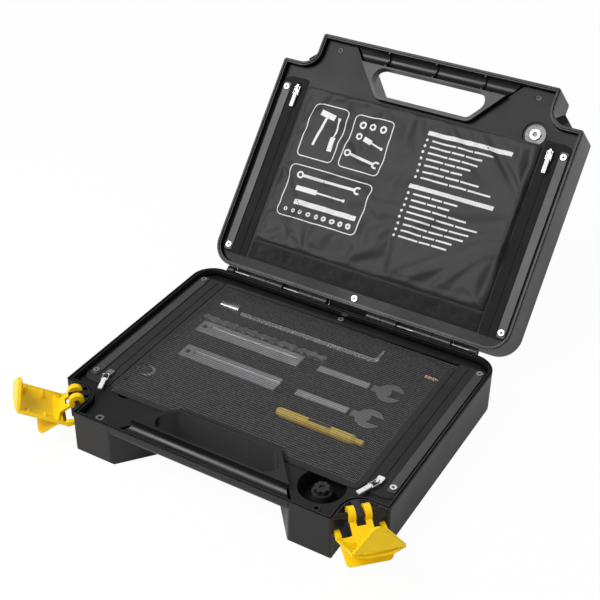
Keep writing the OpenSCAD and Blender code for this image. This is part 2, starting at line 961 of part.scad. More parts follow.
// An L key of six-sided bar with a round bend
module hex_key() {
    overlap = 0.2;
    bar_r = hex_across - 0.01;
    leg_y = hex_y + hex_bend - overlap;
    color(steel)
        translate([0, 0, tool_z + hex_af / 2])
            union() {
                translate([hex_x0, hex_y, 0])
                    rotate([0, 90, 0])
                        rotate(30)
                            cylinder(r = bar_r, h = hex_mid_x - hex_bend - hex_x0 + overlap, $fn = 6);
                translate([hex_mid_x - hex_bend, hex_y + hex_bend, 0])
                    rotate([0, 0, -90])
                        rotate_extrude(angle = 90)
                            translate([hex_bend, 0])
                                circle(r = hex_across, $fn = 6);
                translate([hex_mid_x, leg_y, 0])
                    rotate([-90, 0, 0])
                        cylinder(r = bar_r, h = hex_leg - hex_across - hex_bend + overlap, $fn = 6);
            }
}

chain_links = 12;
link_t = 1.2;
link_w = 8.4;
chain_h = 7;
chain_x0 = wrench_rear_x;
chain_y = wrench_rear_y + wrench_w / 2 + link_w / 2 + 0.5;

module chain_box(grow) {
    translate([chain_x0 - link_w / 2 - grow, chain_y - link_w / 2 - grow])
        square([chain_links * chain_pitch + link_w + 2 * grow, link_w + 2 * grow]);
}

// One side plate of a chain link, waisted between its two pins
module link_plate() {
    linear_extrude(height = link_t)
        difference() {
            union() {
                circle(r = link_w / 2);
                translate([chain_pitch, 0])
                    circle(r = link_w / 2);
                translate([0, -link_w / 3])
                    square([chain_pitch, link_w * 2 / 3]);
            }
        }
}

// A stretch of roller chain lying on its side
module chain() {
    roller_r = 3.8;
    color(tool_grey)
        translate([chain_x0, chain_y, tool_z])
            union() {
                for (k = [0:chain_links - 1]) {
                    level = k % 2 == 0 ? 0 : link_t;
                    translate([k * chain_pitch, 0, level])
                        link_plate();
                    translate([k * chain_pitch, 0, chain_h - link_t - level])
                        link_plate();
                }
                for (k = [0:chain_links])
                    translate([k * chain_pitch, 0, 0.2])
                        cylinder(r = roller_r, h = chain_h - 0.4, $fn = 24);
            }
}

spindle_len = 100;
spindle_x1 = space_half - 30;
spindle_x0 = spindle_x1 - spindle_len;
spindle_y = wrench_front_y - spindle_row;
spindle_r = 7;
grip_x = spindle_x0 + spindle_len / 2;
grip_len = 26;

module spindle_box(grow) {
    translate([spindle_x0 - grow, spindle_y - spindle_r - grow])
        square([spindle_x1 - spindle_x0 + 2 * grow, 2 * (spindle_r + grow)]);
}

// A turned handle that tapers in steps towards its tip
module spindle_tool() {
    color(latch_yellow)
        translate([0, spindle_y, tool_z + spindle_r - 1.5])
            difference() {
                rotate([0, 90, 0])
                    rotate_extrude()
                        polygon([
                            [0, spindle_x0], [4, spindle_x0], [spindle_r - 1.6, spindle_x0 + 6],
                            [spindle_r - 1.6, grip_x - grip_len / 2 - 1], [4.5, grip_x - grip_len / 2],
                            [4.5, grip_x + grip_len / 2], [spindle_r - 1.6, grip_x + grip_len / 2 + 1],
                            [spindle_r - 1.6, spindle_x1 - 12], [3, spindle_x1 - 8],
                            [3, spindle_x1], [0, spindle_x1]]);
                translate([spindle_x0 - 1, -spindle_r - 1, -2 * spindle_r - spindle_r + 1.5])
                    cube([spindle_x1, 3 * spindle_r, 2 * spindle_r]);
            }
}

module spindle_grip() {
    color(cloth_black)
        translate([grip_x, spindle_y, tool_z + spindle_r - 1.5])
            rotate([0, 90, 0])
                difference() {
                    cylinder(r = spindle_r - 1.5, h = grip_len - 0.4, center = true);
                    cylinder(r = 4.55, h = grip_len, center = true);
                }
}

ring_r = 9;
ring_at = [-space_half + end_room, spindle_y - 13.5];

module ring_spacer() {
    color(steel)
        translate([ring_at[0], ring_at[1], tool_z])
            difference() {
                cylinder(r = ring_r, h = 5);
                translate([0, 0, -1])
                    cylinder(r = ring_r - 3, h = 7);
            }
}

socket_len = 25;
socket_at = [-space_half + end_room + socket_len / 2, space_y1 - rear_row];
socket_r = 7;

// A round socket with a square drive hole and a step
module socket_tool() {
    drive = 6.4;
    color(steel)
        translate([socket_at[0], socket_at[1], tool_z + socket_r - 3])
            intersection() {
                rotate([0, 90, 0])
                    difference() {
                        union() {
                            cylinder(r = socket_r - 0.2, h = socket_len / 2, center = false);
                            translate([0, 0, -socket_len / 2])
                                cylinder(r = socket_r - 2, h = socket_len / 2 + tiny);
                        }
                        translate([0, 0, socket_len / 2 - 8])
                            cylinder(r = socket_r - 2.5, h = 9);
                        translate([0, 0, -socket_len / 2 + 3.5])
                            cube([drive, drive, 9], center = true);
                    }
                translate([-socket_len, -socket_r, -socket_r + 3])
                    cube([2 * socket_len, 2 * socket_r, 3 * socket_r]);
            }
}

bit_len = 20;
bit_at = [space_half - 15, space_y1 - rear_row];
bit_r = 3;

module bit_tip() {
    color("#b08d3c")
        translate([bit_at[0] - bit_len / 2, bit_at[1], tool_z + bit_r])
            rotate([0, 90, 0])
                union() {
                    cylinder(r = bit_r, h = bit_len - 6, $fn = 6);
                    cylinder(r = bit_r - 1, h = bit_len);
                }
}

// Black post in the round recess and the lobed knob on top of it
post_r = 10;
post_h = 12;
knob_r = 8;

module knob_post() {
    color(cloth_black)
        translate([recess_x, recess_y, liner_z - recess_floor + liner_t])
            cylinder(r = post_r, h = post_h);
}

module lobed_knob() {
    knob_h = 5;
    lobe_r = 2.2;
    color(steel)
        translate([recess_x, recess_y, liner_z - recess_floor + liner_t + post_h])
            difference() {
                union() {
                    cylinder(r = knob_r - 1.6, h = knob_h);
                    for (k = [0:lobes - 1])
                        rotate(k * 360 / lobes)
                            translate([knob_r - lobe_r, 0, 0])
                                cylinder(r = lobe_r, h = knob_h, $fn = 24);
                }
                translate([0, 0, knob_h - 2])
                    cylinder(r = 3, h = 3);
            }
}

// Light ring on the left and dark ring on the right, in the liner's front holes
module corner_bushes() {
    lip = 1;
    color(steel)
        on_base_liner()
            for (side = [left, right])
                translate([side * bush_x, bush_y, 0])
                    difference() {
                        union() {
                            cylinder(r = bush_r, h = lip);
                            translate([0, 0, -liner_t])
                                cylinder(r = bush_hole + 0.5, h = liner_t + tiny);
                        }
                        translate([0, 0, -liner_t - 1])
                            cylinder(r = bush_hole - 0.5, h = liner_t + lip + 2);
                    }
}

// The fabric band that carries the zip, clamped under the strip
band_out = side_x - 4;
band_in = side_x - 39;
band_front = front_y + 58.5;
band_back = back_y - 16;
coil_w = 2;
coil_h = 0.9;

module band(side) {
    plan = [
        [band_out, band_back, 9], [band_in, band_back, 2],
        [band_in, band_front, 2], [band_out, band_front, 14]];
    mirrored = side > 0 ? 0 : 1;
    color(cloth_black)
        mirror([mirrored, 0, 0])
            difference() {
                union() {
                    linear_extrude(height = band_t)
                        shape(plan);
                    translate([zip_x - coil_w / 2, band_front + 3, band_t - tiny])
                        cube([coil_w, band_back - band_front - 6, coil_h]);
                }
                at_rivets()
                    translate([0, 0, -1])
                        cylinder(r = rivet_hole, h = band_t + 2);
            }
}

module strip(side) {
    over = 6;
    color(strip_grey)
        translate([side * strip_x, 0, band_t])
            difference() {
                linear_extrude(height = strip_t)
                    shape([[strip_w / 2, rivet_back + over, 2.5], [-strip_w / 2, rivet_back + over, 2.5],
                        [-strip_w / 2, rivet_front - over, 2.5], [strip_w / 2, rivet_front - over, 2.5]]);
                for (y = [rivet_front, rivet_back])
                    translate([0, y, -1])
                        cylinder(r = rivet_hole, h = strip_t + 2);
            }
}

module rivet(under, over) {
    head_h = 1.6;
    difference() {
        union() {
            translate([0, 0, over])
                cylinder(r = rivet_r, h = head_h);
            translate([0, 0, -under])
                cylinder(r = rivet_hole - shank_gap, h = under + over + tiny);
        }
        translate([0, 0, over + head_h - 0.8])
            cylinder(r = 1.4, h = 2);
    }
}

module rivet_set() {
    color(steel) {
        at_rivets()
            rivet(liner_t, band_t + strip_t);
        translate([0, rivet_mid_y, 0])
            rivet(liner_t, 0);
    }
}

module base_band_left() {
    on_base_liner() band(left);
}

module base_band_right() {
    on_base_liner() band(right);
}

module base_strip_left() {
    on_base_liner() strip(left);
}

module base_strip_right() {
    on_base_liner() strip(right);
}

module base_rivets() {
    on_base_liner()
        rivet_set();
}

// The mesh flap over the tools, fixed along the back and zipped at both sides
mesh_half = band_in - 0.5;
mesh_back = back_y - 13.6;
mesh_front = front_y + 54.5;
mesh_lift = 0.3;

module mesh_panel() {
    color(cloth_black)
        on_base_liner()
            translate([0, 0, mesh_lift])
                linear_extrude(height = mesh_t)
                    intersection() {
                        shape(body_outline, rim_w + 2 * liner_gap);
                        shape([
                            [mesh_half, mesh_back, 1], [-mesh_half, mesh_back, 1],
                            [-mesh_half, mesh_front, 12], [mesh_half, mesh_front, 12]]);
                    }
}

// One zip slider that straddles the zip's coil
slider_z = band_t + 0.25;
slider_h = 3;
slider_y = front_y + 75;

module slider(side) {
    color(steel)
        translate([side * zip_x, slider_y, slider_z])
            difference() {
                union() {
                    linear_extrude(height = slider_h)
                        shape([[slider_w / 2, slider_len / 2, 2], [-slider_w / 2, slider_len / 2, 2],
                            [-slider_w / 2 + 1, -slider_len / 2, 2], [slider_w / 2 - 1, -slider_len / 2, 2]]);
                    translate([0, 0, slider_h])
                        ear();
                }
                translate([-coil_w / 2 - 0.3, -slider_len, -1])
                    cube([coil_w + 0.6, 2 * slider_len, coil_h + 1.05]);
            }
}

// The small loop on the slider that holds the bail
bail_wire = 0.7;
swing_in = 21;
ear_y = -4;

module ear() {
    ear_w = 2.2;
    ear_len = 5.6;
    window = 3;
    translate([-ear_w / 2, ear_y - ear_len / 2, -tiny])
        difference() {
            cube([ear_w, ear_len, 2.6]);
            translate([-1, (ear_len - window) / 2, 0.15])
                cube([ear_w + 2, window, 1.7]);
        }
}

// The place of a pull, with y away from its pivot and z up
module at_pull(side, swing) {
    translate([side * zip_x, slider_y + ear_y, slider_z + slider_h + 1])
        rotate([0, 0, swing])
            children();
}

// A wire bail that turns in the slider's ear
module bail(side, swing) {
    half = 3;
    reach = 9;
    color(steel)
        at_pull(side, swing)
            union() {
                rotate([0, 90, 0])
                    cylinder(r = bail_wire, h = 2 * half + 2 * bail_wire, center = true, $fn = 24);
                for (s = [left, right])
                    translate([s * half, 0, 0])
                        rotate([90, 0, 0])
                            cylinder(r = bail_wire, h = reach, $fn = 24);
                translate([0, -reach, 0])
                    rotate([0, 90, 0])
                        cylinder(r = bail_wire, h = 2 * half + 2 * bail_wire, center = true, $fn = 24);
            }
}

// The white tab, in two lengths with a joint line between them
module tab(side, swing) {
    bail_reach = 9;
    tab_t = 1.8;
    seam = 0.5;
    neck_w = 3.4;
    color(tab_white)
        at_pull(side, swing)
            difference() {
                union() {
                    translate([-tab_w / 2, -bail_reach - tab_len + 2, -tab_t / 2])
                        cube([tab_w, tab_len - 3, tab_t]);
                    translate([-neck_w / 2, -bail_reach - 2, -tab_t / 2])
                        cube([neck_w, 3.6, tab_t]);
                }
                translate([0, -bail_reach, 0])
                    rotate([0, 90, 0])
                        cylinder(r = bail_wire + 0.02, h = tab_w + 2, center = true, $fn = 24);
                for (z = [-tab_t / 2 - 1.6, tab_t / 2 - 0.4])
                    translate([-tab_w, -bail_reach - tab_len / 2 + 2, z])
                        cube([2 * tab_w, seam, 2]);
            }
}

module base_slider_left() {
    on_base_liner() slider(left);
}

module base_slider_right() {
    on_base_liner() slider(right);
}

module base_bail_left() {
    on_base_liner() bail(left, swing_in);
}

module base_bail_right() {
    on_base_liner() bail(right, -swing_in);
}

module base_tab_left() {
    on_base_liner() tab(left, swing_in);
}

module base_tab_right() {
    on_base_liner() tab(right, -swing_in);
}

// The lid's inner plate
disc_x = side_x - 53;
disc_y = front_y + 55.5;
disc_r = 12;
disc_deep = 1.6;
disc_t = 1.3;

module lid_liner() {
    color(liner_grey)
        on_lid_liner()
            difference() {
                translate([0, 0, -liner_t])
                    linear_extrude(height = liner_t)
                        shape(body_outline, rim_w + liner_gap);
                for (side = [left, right])
                    translate([side * bush_x, bush_y, -liner_t])
                        rotate_extrude()
                            polygon([[0, -1], [screw_r + 0.2, -1], [screw_r + 0.2, 0.2], [screw_r + 2, liner_t],
                                [screw_r + 2, liner_t + 1], [0, liner_t + 1]]);
                at_rivets()
                    translate([0, 0, -liner_t - 1])
                        cylinder(r = rivet_hole, h = liner_t + 2);
                translate([0, rivet_mid_y, -liner_t - 1])
                    cylinder(r = rivet_hole, h = liner_t + 2);
                translate([disc_x, disc_y, -disc_deep])
                    cylinder(r = disc_r + 3, h = liner_t);
            }
}

module lid_screws() {
    color("#202022")
        on_lid_liner()
            for (side = [left, right])
                translate([side * bush_x, bush_y, -liner_t])
                    difference() {
                        rotate_extrude()
                            polygon([[0, -screw_len + 1], [screw_r, -screw_len + 1], [screw_r, 0.2],
                                [screw_r + 1.7, liner_t - 0.1], [0, liner_t - 0.1]]);
                        translate([0, 0, liner_t - 1.2])
                            cylinder(r = 1.3, h = 3, $fn = 6);
                    }
}

// The round steel piece in the lid's front right recess and its raised ring
module lid_disc() {
    color(steel)
        on_lid_liner()
            translate([disc_x, disc_y, -disc_deep])
                cylinder(r = disc_r, h = disc_t);
}

module lid_disc_ring() {
    color(steel)
        on_lid_liner()
            translate([disc_x, disc_y, disc_t - disc_deep])
                difference() {
                    cylinder(r = disc_r / 2, h = 2);
                    translate([0, 0, -1])
                        cylinder(r = disc_r / 4, h = 4);
                }
}

// The fabric pouch that fills the middle of the lid
pouch_half = side_x - 40;
pouch_front = front_y + 64.5;
pouch_back = back_y - 40;

module lid_pouch() {
    color(pouch_grey)
        on_lid_liner()
            linear_extrude(height = pouch_t)
                shape([[pouch_half, pouch_back, 6], [-pouch_half, pouch_back, 6],
                    [-pouch_half, pouch_front, 6], [pouch_half, pouch_front, 6]]);
}

// The loose cloth between the pouch and the hinge
module lid_drape() {
    drape_t = 3;
    color(cloth_black)
        on_lid_liner()
            linear_extrude(height = drape_t)
                shape([[pouch_half, back_y - 16, 4], [-pouch_half, back_y - 16, 4],
                    [-pouch_half, pouch_back + 0.3, 1], [pouch_half, pouch_back + 0.3, 1]]);
}

module lid_band_left() {
    on_lid_liner() band(left);
}

module lid_band_right() {
    on_lid_liner() band(right);
}

module lid_strip_left() {
    on_lid_liner() strip(left);
}

module lid_strip_right() {
    on_lid_liner() strip(right);
}

module lid_rivets() {
    on_lid_liner()
        rivet_set();
}

module lid_slider_left() {
    on_lid_liner() slider(left);
}

module lid_slider_right() {
    on_lid_liner() slider(right);
}

module lid_bail_left() {
    on_lid_liner() bail(left, 180);
}

module lid_bail_right() {
    on_lid_liner() bail(right, 180);
}

module lid_tab_left() {
    on_lid_liner() tab(left, 180);
}

module lid_tab_right() {
    on_lid_liner() tab(right, 180);
}

base_shell();
base_liner();
tool_tray();
mesh_panel();
base_band_left();
base_band_right();
base_strip_left();
base_strip_right();
base_rivets();
corner_bushes();
knob_post();
lobed_knob();
wrench_rear();
wrench_front();
hex_key();
chain();
spindle_tool();
spindle_grip();
ring_spacer();
socket_tool();
bit_tip();
hinge_pins();
latch_left();
latch_right();
base_slider_left();
base_slider_right();
base_bail_left();
base_bail_right();
base_tab_left();
base_tab_right();
lid_shell();
lid_liner();
lid_pouch();
lid_drape();
lid_band_left();
lid_band_right();
lid_strip_left();
lid_strip_right();
lid_rivets();
lid_screws();
lid_disc();
lid_disc_ring();
lid_slider_left();
lid_slider_right();
lid_bail_left();
lid_bail_right();
lid_tab_left();
lid_tab_right();
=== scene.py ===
import bpy
import bmesh
import json
import math
from mathutils import Matrix, Vector, noise
from mathutils.bvhtree import BVHTree

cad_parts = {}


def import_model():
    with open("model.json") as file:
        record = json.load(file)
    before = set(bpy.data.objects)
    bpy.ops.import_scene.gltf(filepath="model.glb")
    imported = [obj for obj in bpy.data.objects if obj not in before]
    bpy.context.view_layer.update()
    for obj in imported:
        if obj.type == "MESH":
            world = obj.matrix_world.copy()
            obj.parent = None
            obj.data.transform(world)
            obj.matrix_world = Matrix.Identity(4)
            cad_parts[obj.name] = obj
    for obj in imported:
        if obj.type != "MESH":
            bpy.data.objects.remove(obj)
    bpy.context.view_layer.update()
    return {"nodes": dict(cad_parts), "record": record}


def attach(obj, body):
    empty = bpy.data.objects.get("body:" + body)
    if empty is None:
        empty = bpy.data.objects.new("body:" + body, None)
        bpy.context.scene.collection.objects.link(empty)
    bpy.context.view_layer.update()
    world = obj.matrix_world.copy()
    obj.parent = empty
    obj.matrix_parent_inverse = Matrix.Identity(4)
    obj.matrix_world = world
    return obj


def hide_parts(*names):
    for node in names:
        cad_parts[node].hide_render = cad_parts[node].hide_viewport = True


# The looks of the hard tool case. Lengths are in mm, and MM turns them into
# the frame's metres.

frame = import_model()

MM = 0.001
# The lid's hinge axis and its open angle, as in the part's source
HINGE_Y, HINGE_Z, LID_OPEN = 156.5, 48.0, 131.2
BASE_LINER_Z, LID_LINER_Z = 42.0, 58.0

scene = bpy.context.scene
scene.view_settings.view_transform = "Standard"


def smooth(t):
    """An eased step from 0 to 1."""
    t = max(0.0, min(1.0, t))
    return t * t * (3 - 2 * t)


def fold(x, y, seed):
    """Smooth noise from -1 to 1."""
    return noise.noise(Vector((x, y, seed)))


def on_base(x, y, z):
    """A point over the base's liner, in metres."""
    return Vector((x, y, BASE_LINER_Z + z)) * MM


def from_base(point):
    """The x, y and height over the base's liner, in mm, of a point in metres."""
    p = Vector(point) / MM
    return Vector((p.x, p.y, p.z - BASE_LINER_Z))


LID_TURN = Matrix.Rotation(math.radians(-LID_OPEN), 3, "X")
HINGE = Vector((0, HINGE_Y, HINGE_Z))


def on_lid(x, y, z):
    """A point over the lid's liner, with z away from the liner, in metres."""
    return (LID_TURN @ (Vector((x, y, LID_LINER_Z - z)) - HINGE) + HINGE) * MM


def from_lid(point):
    """The x, y and height over the lid's liner, in mm, of a point in metres."""
    p = LID_TURN.inverted() @ (Vector(point) / MM - HINGE) + HINGE
    return Vector((p.x, p.y, LID_LINER_Z - p.z))


# ---------------------------------------------------------------- materials

# The stretch of a noise texture's values that its ramps and spans use
NOISE_LOW, NOISE_HIGH = 0.3, 0.7
# Metals: scale of the drawn lines and of the cloudy tone, and edge radius in mm
LINES, CLOUD, METAL_EDGE = 600.0, 60.0, 0.3
# Further than any point of the case, in mm
FAR = 400


class Nodes:
    """A short way to write shader nodes."""

    def __init__(self, name):
        self.mat = bpy.data.materials.new(name)
        self.mat.use_nodes = True
        self.tree = self.mat.node_tree
        self.shader = self.tree.nodes["Principled BSDF"]
        self.coord = self.add("ShaderNodeTexCoord").outputs["Object"]

    def add(self, kind, **values):
        node = self.tree.nodes.new(kind)
        for key, value in values.items():
            if key in node.inputs:
                self.put(node.inputs[key], value)
            else:
                setattr(node, key, value)
        return node

    def put(self, socket, value):
        if isinstance(value, bpy.types.NodeSocket):
            self.tree.links.new(value, socket)
        else:
            socket.default_value = value

    def math(self, op, a, b=0.0):
        node = self.add("ShaderNodeMath", operation=op)
        self.put(node.inputs[0], a)
        self.put(node.inputs[1], b)
        return node.outputs[0]

    def axes(self):
        """The object's own x, y and z."""
        return self.add("ShaderNodeSeparateXYZ", Vector=self.coord).outputs

    def noise(self, scale, detail=2.0, stretch=None):
        vector = self.coord
        if stretch:
            vector = self.add("ShaderNodeMapping", Vector=self.coord, Scale=stretch).outputs[0]
        node = self.add("ShaderNodeTexNoise", Vector=vector, Scale=scale, Detail=detail)
        return node.outputs["Fac"]

    def ramp(self, fac, low, high, a, b):
        """A colour that goes from a to b as fac goes from low to high."""
        node = self.add("ShaderNodeValToRGB", Fac=fac)
        for end, place, colour in zip(node.color_ramp.elements, (low, high), (a, b)):
            end.position = place
            end.color = (*colour, 1)
        return node.outputs["Color"]

    def map_range(self, value, **ends):
        """A value mapped from one stretch to another, given as From_Min and so on."""
        node = self.add("ShaderNodeMapRange", Value=value)
        for key, end in ends.items():
            node.inputs[key.replace("_", " ")].default_value = end
        return node.outputs[0]

    def span(self, fac, low, high):
        """A roughness that goes from low to high over a noise's range."""
        return self.map_range(fac, From_Min=NOISE_LOW, From_Max=NOISE_HIGH, To_Min=low, To_Max=high)

    def between(self, value, low, high, fade=1.5):
        """One inside a stretch of a coordinate, in mm, and none outside it."""
        up = self.map_range(value, From_Min=(low - fade) * MM, From_Max=low * MM)
        down = self.map_range(value, From_Min=(high + fade) * MM, From_Max=high * MM)
        return self.math("MULTIPLY", up, down)

    def bump(self, height, distance, edge=0.0):
        """A relief, with its depth in mm, on edges rounded by a radius in mm."""
        node = self.add("ShaderNodeBump", Height=height, Distance=distance * MM, Strength=1.0)
        if edge:
            bevel = self.add("ShaderNodeBevel", samples=4, Radius=edge * MM)
            self.put(node.inputs["Normal"], bevel.outputs[0])
        return node.outputs[0]

    def out(self, **values):
        for key, value in values.items():
            self.put(self.shader.inputs[key.replace("_", " ")], value)
        return self.mat


def plastic(name, dark, light, low, high, grain=1.0, edge=0.5, size=1500.0, shine=0.5):
    """Moulded plastic: fine texture, slight colour and gloss variation, rounded edges."""
    n = Nodes(name)
    cloud = n.noise(14.0, 3.0)
    fine = n.noise(size)
    return n.out(
        Base_Color=n.ramp(cloud, NOISE_LOW, NOISE_HIGH, dark, light),
        Roughness=n.span(cloud, low, high),
        Specular_IOR_Level=shine,
        Normal=n.bump(fine, 0.04 * grain, edge))


def metal(name, dark, light, low, high, stretch=(1, 1, 1)):
    """Bright or dull metal with fine drawn lines."""
    n = Nodes(name)
    lines = n.noise(LINES, 3.0, stretch)
    cloud = n.noise(CLOUD, 3.0)
    return n.out(
        Base_Color=n.ramp(cloud, NOISE_LOW, NOISE_HIGH, dark, light),
        Metallic=1.0,
        Roughness=n.span(lines, low, high),
        Normal=n.bump(lines, 0.01, METAL_EDGE))


def woven(name, dark, light, pitch, sheen):
    """Plain woven cloth of crossing threads, with the threads' pitch in mm."""
    relief, weave_tone = 0.12, 0.18
    n = Nodes(name)
    x, y, z = n.axes()
    turn = 2 * math.pi / (pitch * MM)
    along = n.math("ADD", y, z)
    warp = n.math("SINE", n.math("MULTIPLY", x, turn))
    weft = n.math("SINE", n.math("MULTIPLY", along, turn))
    height = n.math("MULTIPLY", warp, weft)
    cloud = n.noise(40.0, 4.0)
    mix = n.math("ADD", n.math("MULTIPLY", height, weave_tone), cloud)
    return n.out(
        Base_Color=n.ramp(mix, 0.3, 0.75, dark, light),
        Roughness=0.85, Sheen_Weight=sheen, Sheen_Roughness=0.5,
        Normal=n.bump(height, relief))


# Plastics and metals: dark and light colour, and roughness from and to. Cloths:
# dark and light colour, and the threads' pitch.
SHELL = plastic("shell_plastic", (0.006, 0.006, 0.0065), (0.01, 0.01, 0.011), 0.28, 0.4,
                grain=1.2, edge=0.7, shine=0.34)
LINER = plastic("liner_plastic", (0.006, 0.006, 0.0065), (0.01, 0.01, 0.0105), 0.44, 0.56,
                grain=1.5, edge=0.3, shine=0.28)
STRIP = plastic("strip_plastic", (0.04, 0.04, 0.0415), (0.055, 0.055, 0.057), 0.42, 0.55,
                grain=0.8, edge=0.3)
LATCH = plastic("latch_plastic", (0.96, 0.62, 0.002), (1.0, 0.67, 0.004), 0.3, 0.4,
                grain=0.4, edge=0.6, shine=0.3)
SPINDLE = plastic("spindle_plastic", (0.8, 0.52, 0.03), (0.95, 0.64, 0.05), 0.35, 0.45,
                  grain=0.4, edge=0.3)
TAB = plastic("tab_plastic", (0.72, 0.72, 0.71), (0.82, 0.82, 0.81), 0.35, 0.45,
              grain=0.3, edge=0.25)
RUBBER = plastic("black_rubber", (0.01, 0.01, 0.01), (0.018, 0.018, 0.018), 0.55, 0.7,
                 edge=0.3)
FOAM = plastic("foam_black", (0.004, 0.004, 0.004), (0.009, 0.009, 0.009), 0.9, 1.0,
               grain=4.0, edge=0.0, size=700.0)
STEEL = metal("bright_steel", (0.42, 0.42, 0.43), (0.6, 0.6, 0.61), 0.26, 0.38)
BAR_STEEL = metal("bar_steel", (0.62, 0.62, 0.63), (0.85, 0.85, 0.86), 0.2, 0.3)
PIN_STEEL = metal("pin_steel", (0.08, 0.08, 0.082), (0.2, 0.2, 0.205), 0.32, 0.45,
                  stretch=(14, 1, 1))
DISC = metal("dull_steel", (0.07, 0.07, 0.072), (0.16, 0.16, 0.165), 0.36, 0.5)
CHAIN = metal("chain_steel", (0.2, 0.2, 0.205), (0.36, 0.36, 0.365), 0.35, 0.5)
ZINC = metal("plated_zinc", (0.42, 0.42, 0.43), (0.66, 0.66, 0.68), 0.2, 0.34)
BRASS = metal("brass", (0.62, 0.43, 0.16), (0.78, 0.57, 0.24), 0.22, 0.36)
BLACK_STEEL = metal("black_steel", (0.02, 0.02, 0.022), (0.05, 0.05, 0.053), 0.35, 0.5)
TAPE = woven("zip_tape", (0.003, 0.003, 0.0035), (0.009, 0.009, 0.0095), 0.9, sheen=0.08)
BINDING = woven("mesh_binding", (0.004, 0.004, 0.0045), (0.011, 0.011, 0.012), 0.8, sheen=0.1)
DRAPE = woven("drape_cloth", (0.005, 0.005, 0.0055), (0.014, 0.014, 0.015), 0.7, sheen=0.12)


def wrench_steel():
    """Steel, dark for a stretch behind the handle, darker at the head, and bright elsewhere."""
    n = Nodes("tool_steel")
    x = n.axes()[0]
    lines = n.noise(LINES, 3.0, (1, 14, 14))
    cloud = n.noise(CLOUD, 3.0)
    bright = n.math("MAXIMUM", n.between(x, -FAR, -6, 2), n.between(x, 18, 78))
    bright = n.math("MULTIPLY", bright, n.math("ADD", n.math("MULTIPLY", cloud, 0.3), 0.75))
    head = n.math("MULTIPLY", n.between(x, 84, FAR), 0.42)
    tone = n.math("MAXIMUM", bright, head)
    return n.out(
        Base_Color=n.ramp(tone, 0.05, 0.95, (0.02, 0.02, 0.022), (0.62, 0.62, 0.63)),
        Metallic=1.0,
        Roughness=n.span(lines, 0.34, 0.5),
        Normal=n.bump(lines, 0.01, METAL_EDGE))


def eyelet_metal():
    """The right eyelet is darker than the left one."""
    n = Nodes("eyelet_metal")
    side = n.between(n.axes()[0], 0, FAR)
    cloud = n.noise(CLOUD, 3.0)
    return n.out(
        Base_Color=n.ramp(side, 0.3, 0.7, (0.4, 0.4, 0.41), (0.04, 0.04, 0.042)),
        Metallic=1.0,
        Roughness=n.span(cloud, 0.28, 0.42),
        Normal=n.bump(cloud, 0.01, METAL_EDGE))


def grip_rubber():
    """A dark inlay along the top of a yellow grip, a little inside its outline."""
    grip = frame["nodes"]["spindle_grip"]
    corners = [grip.matrix_world @ Vector(c) / MM for c in grip.bound_box]
    end_gap, side_gap = 1, 3.5
    low_x, high_x = min(c.x for c in corners) + end_gap, max(c.x for c in corners) - end_gap
    low_y, high_y = min(c.y for c in corners) + side_gap, max(c.y for c in corners) - side_gap
    n = Nodes("grip_inlay")
    x, y, _ = n.axes()
    inlay = n.math("MULTIPLY", n.between(x, low_x, high_x, 2), n.between(y, low_y, high_y, 0.6))
    grain = n.noise(900.0)
    return n.out(
        Base_Color=n.ramp(inlay, 0.2, 0.8, (0.85, 0.56, 0.04), (0.012, 0.018, 0.02)),
        Roughness=0.5,
        Normal=n.bump(grain, 0.02))


def twill():
    """Dark coated twill with fine slanting ribs."""
    n = Nodes("pouch_twill")
    x, y, z = n.axes()
    rib_pitch, slope, rib_tone, relief = 2.6, 0.7, 0.2, 0.1
    turn = 2 * math.pi / (rib_pitch * MM)
    slant = n.math("ADD", n.math("MULTIPLY", x, slope), n.math("ADD", y, z))
    rib = n.math("SINE", n.math("MULTIPLY", slant, turn))
    cloud = n.noise(18.0, 4.0)
    mix = n.math("ADD", n.math("MULTIPLY", rib, rib_tone), cloud)
    return n.out(
        Base_Color=n.ramp(mix, 0.3, 0.75, (0.014, 0.014, 0.015), (0.04, 0.04, 0.0425)),
        Roughness=n.span(cloud, 0.5, 0.66),
        Sheen_Weight=0.15, Sheen_Roughness=0.4,
        Normal=n.bump(rib, relief))


def net():
    """Knitted net: round holes in staggered rows, see-through by alpha."""
    n = Nodes("net_cloth")
    x, y, _ = n.axes()
    pitch_x, pitch_y, thread_share = 3.3 * MM, 3.0 * MM, 0.27
    a = n.math("MULTIPLY", x, 2 * math.pi / pitch_x)
    b = n.math("MULTIPLY", y, math.pi / pitch_y)
    grid = n.math("MULTIPLY", n.math("SINE", a), n.math("SINE", b))
    hole = n.math("ABSOLUTE", grid)
    thread = n.math("LESS_THAN", hole, thread_share)
    cloud = n.noise(300.0, 3.0)
    n.mat.surface_render_method = "DITHERED"
    return n.out(
        Base_Color=n.ramp(cloud, 0.35, 0.7, (0.045, 0.045, 0.047), (0.115, 0.115, 0.12)),
        Roughness=0.5, Sheen_Weight=0.2, Alpha=thread,
        Normal=n.bump(hole, 0.15))


def ink():
    """Light print ink."""
    n = Nodes("print_ink")
    cloud = n.noise(900.0)
    return n.out(
        Base_Color=n.ramp(cloud, 0.35, 0.65, (0.66, 0.66, 0.66), (0.8, 0.8, 0.8)),
        Roughness=0.55,
        Normal=n.bump(cloud, 0.02))


TWILL, NET, INK = twill(), net(), ink()
TOOL, GRIP, EYELET = wrench_steel(), grip_rubber(), eyelet_metal()
# Near-black plastic for the discs in the rivets' recesses: painted shade
RECESS_SHADE_PAINT = plastic("rivet_recess_painted_shade", (0.006, 0.006, 0.006), (0.01, 0.01, 0.01), 0.5, 0.6)

